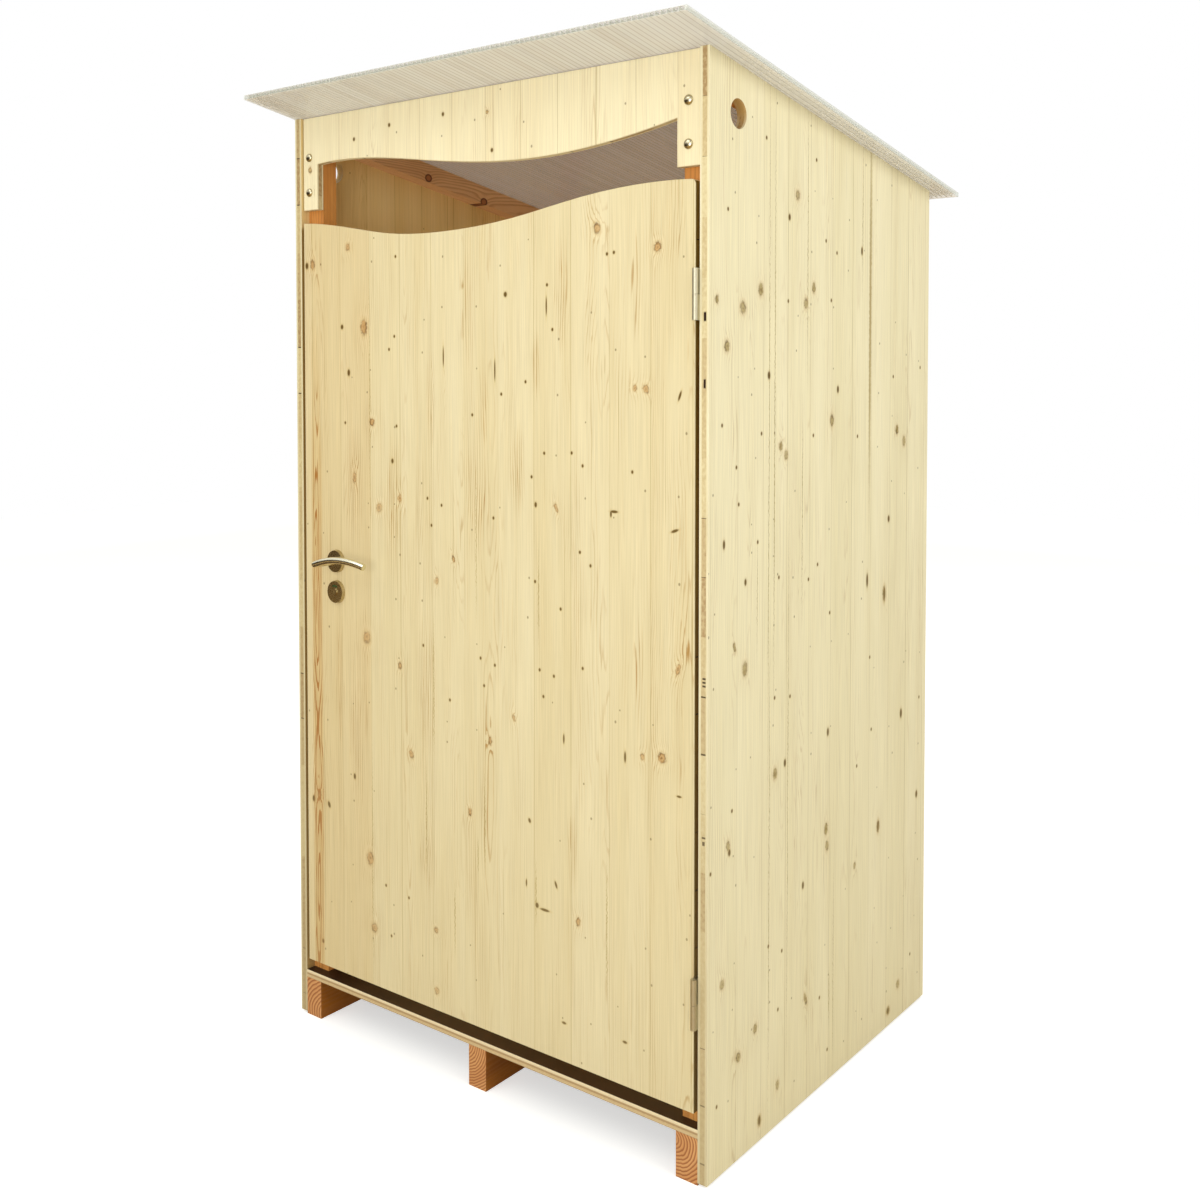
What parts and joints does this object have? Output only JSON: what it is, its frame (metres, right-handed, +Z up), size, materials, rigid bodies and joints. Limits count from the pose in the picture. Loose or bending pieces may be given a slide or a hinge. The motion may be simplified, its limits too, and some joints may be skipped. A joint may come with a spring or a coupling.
{
  "type": "wooden outhouse",
  "caption": "Narrow wooden privy cabin on runners with a lean-to translucent roof, wavy vent gap over a right-hinged door, and a round vent hole in each side.",
  "frame": {"origin": "on the ground at the middle of the wall footprint, on the underside of the middle runner", "axes": "+X to the right along the front, +Y from the front to the back, +Z up; the door faces -Y"},
  "size_m": [1.218, 1.2046, 2.1874],
  "materials": {
    "spruce_panel": "three-layer spruce panel, sanded, raw",
    "frame_timber": "planed softwood, stained reddish",
    "floor_plywood": "film-faced plywood, dark top",
    "twin_wall_sheet": "translucent twin-wall polycarbonate",
    "satin_steel": "satin stainless steel",
    "hinge_steel": "zinc-plated steel",
    "lock_steel": "grey lacquered steel",
    "indicator_enamel": "green and red enamel on a steel disc"
  },
  "bodies": {
    "cabin": {"back_wall": "spruce_panel", "floor_board": "floor_plywood", "front_left_post": "frame_timber", "front_right_post": "frame_timber", "header_panel": "spruce_panel", "left_rafter": "frame_timber", "left_runner": "frame_timber", "left_wall": "spruce_panel", "lock_keep": "lock_steel", "lower_hinge_frame_half": "hinge_steel", "middle_runner": "frame_timber", "rear_left_post": "frame_timber", "rear_rail": "frame_timber", "rear_right_post": "frame_timber", "right_rafter": "frame_timber", "right_runner": "frame_timber", "right_wall": "spruce_panel", "roof_sheet": "twin_wall_sheet", "upper_hinge_frame_half": "hinge_steel"},
    "door": {"door_panel": "spruce_panel", "lock_case": "lock_steel", "latch_bolt": "lock_steel", "dead_bolt": "lock_steel", "outer_lever_rose": "satin_steel", "inner_lever_rose": "satin_steel", "indicator_rose": "satin_steel", "turn_rose": "satin_steel", "lower_hinge_door_half": "hinge_steel", "upper_hinge_door_half": "hinge_steel"},
    "lever": {"outer_lever": "satin_steel", "inner_lever": "satin_steel", "lever_spindle": "lock_steel"},
    "snib": {"release_button": "satin_steel", "indicator_disc": "indicator_enamel", "snib_spindle": "lock_steel", "thumb_turn": "satin_steel"}
  },
  "joints": [
    {"name": "door_swing", "type": "hinge", "parent": "cabin", "child": "door", "pos_m": [0.559, -0.5015, 1], "axis": [0, 0, 1], "range_deg": [0, 180]},
    {"name": "lever_turn", "type": "hinge", "parent": "door", "child": "lever", "pos_m": [-0.4465, -0.494, 1.111], "axis": [0, 1, 0], "range_deg": [0, 40], "stiffness_Nm_per_rad": 1.2, "springref_deg": -22.92},
    {"name": "snib_turn", "type": "hinge", "parent": "door", "child": "snib", "pos_m": [-0.4465, -0.494, 1.039], "axis": [0, 1, 0], "range_deg": [0, 90]}
  ]
}
